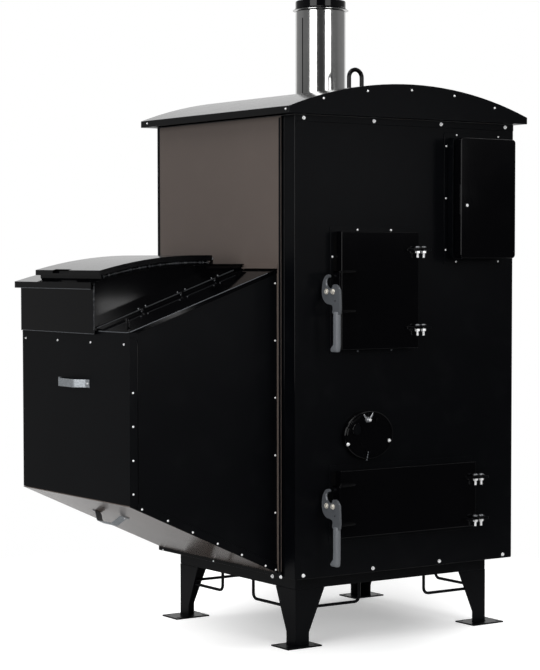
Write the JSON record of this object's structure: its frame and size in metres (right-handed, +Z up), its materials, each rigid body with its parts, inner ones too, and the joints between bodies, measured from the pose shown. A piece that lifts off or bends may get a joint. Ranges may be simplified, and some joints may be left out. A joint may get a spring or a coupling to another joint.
{
  "type": "outdoor wood boiler",
  "caption": "Tall outdoor wood boiler cabinet on four legs, with a barrel roof, chimney, two latched front doors, a control box, a round port and a sloped side fuel bin with a lid.",
  "frame": {"origin": "on the ground, under the middle of the whole object", "axes": "+Z up, the doors face -Y, the fuel bin is on the -X side"},
  "size_m": [1.7704, 1.155, 2.5],
  "materials": {
    "black_coat": "semi-gloss black powder coat",
    "taupe_coat": "semi-gloss taupe powder coat",
    "stainless": "polished stainless flue pipe",
    "zinc": "bright zinc plate",
    "lever_grey": "grey textured powder coat",
    "mill_steel": "dark mill steel plate",
    "fibre_rope": "braided glass fibre rope",
    "fibre_board": "ceramic fibre board"
  },
  "bodies": {
    "boiler": {"base_frame": "black_coat", "leg_front_left": "black_coat", "leg_front_right": "black_coat", "leg_rear_left": "black_coat", "leg_rear_right": "black_coat", "floor_pan": "black_coat", "front_panel": "black_coat", "header_strip": "black_coat", "left_panel": "taupe_coat", "right_panel": "taupe_coat", "rear_panel": "black_coat", "roof_sheet": "black_coat", "front_gable": "black_coat", "rear_gable": "black_coat", "top_deck": "mill_steel", "chimney_pipe": "stainless", "chimney_liner": "stainless", "chimney_band": "black_coat", "lifting_eye": "black_coat", "bin_outer_panel": "black_coat", "bin_front_panel": "black_coat", "bin_rear_panel": "black_coat", "bin_bottom_panel": "taupe_coat", "bin_top_panel": "black_coat", "bin_hood": "black_coat", "hood_deck": "black_coat", "lid_pin": "zinc", "bin_pull_outer": "zinc", "bin_pull_bottom": "zinc", "water_jacket": "mill_steel", "firebox": "mill_steel", "auger_tube": "mill_steel", "auger_motor": "mill_steel", "blower_housing": "mill_steel", "fire_frame": "black_coat", "ash_frame": "black_coat", "control_base": "black_coat", "control_hinge": "zinc", "port_flange": "black_coat"},
    "fire_door": {"fire_door": "black_coat", "fire_liner": "fibre_board", "fire_gasket": "fibre_rope", "fire_hinge_link_upper": "zinc", "fire_hinge_link_lower": "zinc", "fire_lever_bolt": "zinc"},
    "fire_lever": {"fire_lever": "lever_grey"},
    "ash_door": {"ash_door": "black_coat", "ash_liner": "fibre_board", "ash_gasket": "fibre_rope", "ash_hinge_link_upper": "zinc", "ash_hinge_link_lower": "zinc", "ash_lever_bolt": "zinc"},
    "ash_lever": {"ash_lever": "lever_grey"},
    "control_cover": {"control_cover": "black_coat"},
    "control_lock": {"control_lock": "zinc"},
    "bin_lid": {"bin_lid": "black_coat"},
    "auger": {"auger_screw": "mill_steel"},
    "blower_wheel": {"blower_wheel": "mill_steel"},
    "port_damper": {"port_damper": "black_coat"},
    "port_wing_nut": {"port_wing_nut": "zinc"}
  },
  "joints": [
    {"name": "fire_door_hinge", "type": "hinge", "parent": "boiler", "child": "fire_door", "pos_m": [0.34015, -0.5255, 1.358], "axis": [0, 0, 1], "range_deg": [0, 105]},
    {"name": "fire_lever_pivot", "type": "hinge", "parent": "fire_door", "child": "fire_lever", "pos_m": [-0.08985, -0.5395, 1.341], "axis": [-1, 0, 0], "range_deg": [0, 75]},
    {"name": "ash_door_hinge", "type": "hinge", "parent": "boiler", "child": "ash_door", "pos_m": [0.62915, -0.5255, 0.54], "axis": [0, 0, 1], "range_deg": [0, 105]},
    {"name": "ash_lever_pivot", "type": "hinge", "parent": "ash_door", "child": "ash_lever", "pos_m": [-0.08985, -0.5395, 0.544], "axis": [-1, 0, 0], "range_deg": [0, 75]},
    {"name": "control_cover_hinge", "type": "hinge", "parent": "boiler", "child": "control_cover", "pos_m": [0.77815, -0.5215, 1.696], "axis": [0, 0, 1], "range_deg": [0, 110]},
    {"name": "control_lock_turn", "type": "hinge", "parent": "control_cover", "child": "control_lock", "pos_m": [0.53015, -0.5515, 1.668], "axis": [0, 1, 0], "range_deg": [0, 90]},
    {"name": "bin_lid_hinge", "type": "hinge", "parent": "boiler", "child": "bin_lid", "pos_m": [-0.33985, 0.138, 1.463], "axis": [0, 1, 0], "range_deg": [0, 95]},
    {"name": "auger_spin", "type": "hinge", "parent": "boiler", "child": "auger", "pos_m": [-0.21085, 0.0685, 0.47], "axis": [1, 0, 0], "continuous": true},
    {"name": "blower_spin", "type": "hinge", "parent": "boiler", "child": "blower_wheel", "pos_m": [0.08915, 0.4805, 0.56], "axis": [0, 1, 0], "continuous": true},
    {"name": "port_damper_turn", "type": "hinge", "parent": "boiler", "child": "port_damper", "pos_m": [0.11715, -0.4845, 0.735], "axis": [0, -1, 0], "range_deg": [0, 20]},
    {"name": "port_wing_nut_turn", "type": "hinge", "parent": "boiler", "child": "port_wing_nut", "pos_m": [0.10315, -0.4945, 0.856], "axis": [0, 1, 0], "continuous": true}
  ]
}
